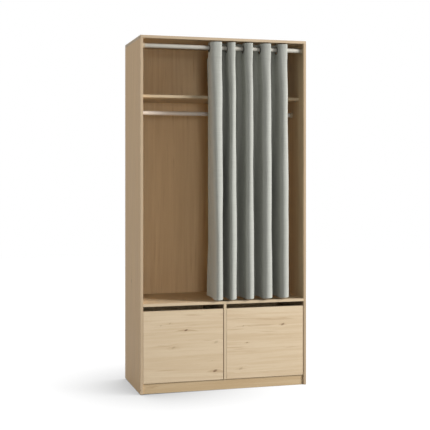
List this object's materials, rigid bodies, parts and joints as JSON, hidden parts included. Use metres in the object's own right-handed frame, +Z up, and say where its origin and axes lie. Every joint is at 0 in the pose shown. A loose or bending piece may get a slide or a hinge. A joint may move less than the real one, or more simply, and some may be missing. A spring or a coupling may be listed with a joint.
{
  "type": "curtain wardrobe",
  "caption": "Tall open wardrobe with a hat shelf and hanging rail behind an eyelet curtain on its own rail, over side-by-side drawers opened by finger gaps.",
  "frame": {"origin": "middle of the footprint at floor level; the footprint is the carcass and the curtain folds that stand out in front of it", "axes": "+Z up, -Y out of the front, +X to the right seen from the front"},
  "size_m": [1, 0.4976, 2.04],
  "materials": {
    "oak_foil": "light oak foil, satin, fine grain",
    "oak_hardboard": "light oak printed hardboard, satin",
    "rail_white": "pale grey powder coat, satin",
    "socket_grey": "warm grey, matt",
    "white_plastic": "white, matt",
    "zinc_steel": "zinc plated",
    "curtain_cloth": "plain weave, grey-green, matt",
    "eyelet_black": "black, satin"
  },
  "bodies": {
    "carcass": {"left_side_panel": "oak_foil", "right_side_panel": "oak_foil", "top_panel": "oak_foil", "deck_panel": "oak_foil", "bottom_panel": "oak_foil", "plinth_board": "oak_foil", "centre_divider": "oak_foil", "hat_shelf": "oak_foil", "back_panel_left": "oak_hardboard", "back_panel_right": "oak_hardboard", "left_drawer_left_runner": "white_plastic", "left_drawer_right_runner": "white_plastic", "floor_glide_left_front": "white_plastic", "floor_glide_left_rear": "white_plastic", "shelf_pin_left_front": "zinc_steel", "shelf_pin_left_rear": "zinc_steel", "curtain_rail_socket_left": "socket_grey", "hanging_rail_socket_left": "socket_grey", "right_drawer_left_runner": "white_plastic", "right_drawer_right_runner": "white_plastic", "floor_glide_right_front": "white_plastic", "floor_glide_right_rear": "white_plastic", "shelf_pin_right_front": "zinc_steel", "shelf_pin_right_rear": "zinc_steel", "curtain_rail_socket_right": "socket_grey", "hanging_rail_socket_right": "socket_grey", "curtain_rail": "rail_white", "hanging_rail": "rail_white"},
    "left_drawer": {"left_drawer_front": "oak_foil", "left_drawer_left_side": "oak_foil", "left_drawer_right_side": "oak_foil", "left_drawer_back": "oak_foil", "left_drawer_bottom": "oak_hardboard"},
    "right_drawer": {"right_drawer_front": "oak_foil", "right_drawer_left_side": "oak_foil", "right_drawer_right_side": "oak_foil", "right_drawer_back": "oak_foil", "right_drawer_bottom": "oak_hardboard"},
    "eyelet_body_1": {"eyelet_1": "eyelet_black", "curtain_fold_1": "curtain_cloth"},
    "eyelet_body_2": {"eyelet_2": "eyelet_black", "curtain_fold_2": "curtain_cloth"},
    "eyelet_body_3": {"eyelet_3": "eyelet_black", "curtain_fold_3": "curtain_cloth"},
    "eyelet_body_4": {"eyelet_4": "eyelet_black", "curtain_fold_4": "curtain_cloth"},
    "eyelet_body_5": {"eyelet_5": "eyelet_black", "curtain_fold_5": "curtain_cloth"},
    "eyelet_body_6": {"eyelet_6": "eyelet_black", "curtain_fold_6": "curtain_cloth"},
    "eyelet_body_7": {"eyelet_7": "eyelet_black", "curtain_fold_7": "curtain_cloth"},
    "eyelet_body_8": {"eyelet_8": "eyelet_black", "curtain_fold_8": "curtain_cloth"},
    "eyelet_body_9": {"eyelet_9": "eyelet_black", "curtain_fold_9": "curtain_cloth"},
    "eyelet_body_10": {"eyelet_10": "eyelet_black"}
  },
  "joints": [
    {"name": "left_drawer_slide", "type": "slide", "parent": "carcass", "child": "left_drawer", "axis": [0, -1, 0], "range_m": [0, 0.33]},
    {"name": "right_drawer_slide", "type": "slide", "parent": "carcass", "child": "right_drawer", "axis": [0, -1, 0], "range_m": [0, 0.33]},
    {"name": "curtain_draw", "type": "slide", "parent": "carcass", "child": "eyelet_body_1", "axis": [-1, 0, 0], "range_m": [-0.095, 0.3675]},
    {"name": "eyelet_2_slide", "type": "slide", "parent": "eyelet_body_1", "child": "eyelet_body_2", "axis": [1, 0, 0], "range_m": [-0.0094, 0.03578], "deforming": ["curtain_fold_1"]},
    {"name": "eyelet_3_slide", "type": "slide", "parent": "eyelet_body_2", "child": "eyelet_body_3", "axis": [1, 0, 0], "range_m": [-0.01625, 0.0623], "deforming": ["curtain_fold_2"]},
    {"name": "eyelet_4_slide", "type": "slide", "parent": "eyelet_body_3", "child": "eyelet_body_4", "axis": [1, 0, 0], "range_m": [-0.01548, 0.0593], "deforming": ["curtain_fold_3"]},
    {"name": "eyelet_5_slide", "type": "slide", "parent": "eyelet_body_4", "child": "eyelet_body_5", "axis": [1, 0, 0], "range_m": [-0.01135, 0.04333], "deforming": ["curtain_fold_4"]},
    {"name": "eyelet_6_slide", "type": "slide", "parent": "eyelet_body_5", "child": "eyelet_body_6", "axis": [1, 0, 0], "range_m": [-0.0147, 0.0563], "deforming": ["curtain_fold_5"]},
    {"name": "eyelet_7_slide", "type": "slide", "parent": "eyelet_body_6", "child": "eyelet_body_7", "axis": [1, 0, 0], "range_m": [-0.01162, 0.04439], "deforming": ["curtain_fold_6"]},
    {"name": "eyelet_8_slide", "type": "slide", "parent": "eyelet_body_7", "child": "eyelet_body_8", "axis": [1, 0, 0], "range_m": [-0.01237, 0.0473], "deforming": ["curtain_fold_7"]},
    {"name": "eyelet_9_slide", "type": "slide", "parent": "eyelet_body_8", "child": "eyelet_body_9", "axis": [1, 0, 0], "range_m": [-0.0134, 0.05127], "deforming": ["curtain_fold_8"]},
    {"name": "eyelet_10_slide", "type": "slide", "parent": "eyelet_body_9", "child": "eyelet_body_10", "axis": [1, 0, 0], "range_m": [-0.01237, 0.0473], "deforming": ["curtain_fold_9"]}
  ],
  "couplings": [
    {"joint": "eyelet_2_slide", "follows": "curtain_draw", "ratio": 0.09681},
    {"joint": "eyelet_3_slide", "follows": "curtain_draw", "ratio": 0.16898},
    {"joint": "eyelet_4_slide", "follows": "curtain_draw", "ratio": 0.16082},
    {"joint": "eyelet_5_slide", "follows": "curtain_draw", "ratio": 0.11736},
    {"joint": "eyelet_6_slide", "follows": "curtain_draw", "ratio": 0.15265},
    {"joint": "eyelet_7_slide", "follows": "curtain_draw", "ratio": 0.12025},
    {"joint": "eyelet_8_slide", "follows": "curtain_draw", "ratio": 0.12815},
    {"joint": "eyelet_9_slide", "follows": "curtain_draw", "ratio": 0.13895},
    {"joint": "eyelet_10_slide", "follows": "curtain_draw", "ratio": 0.12815}
  ]
}
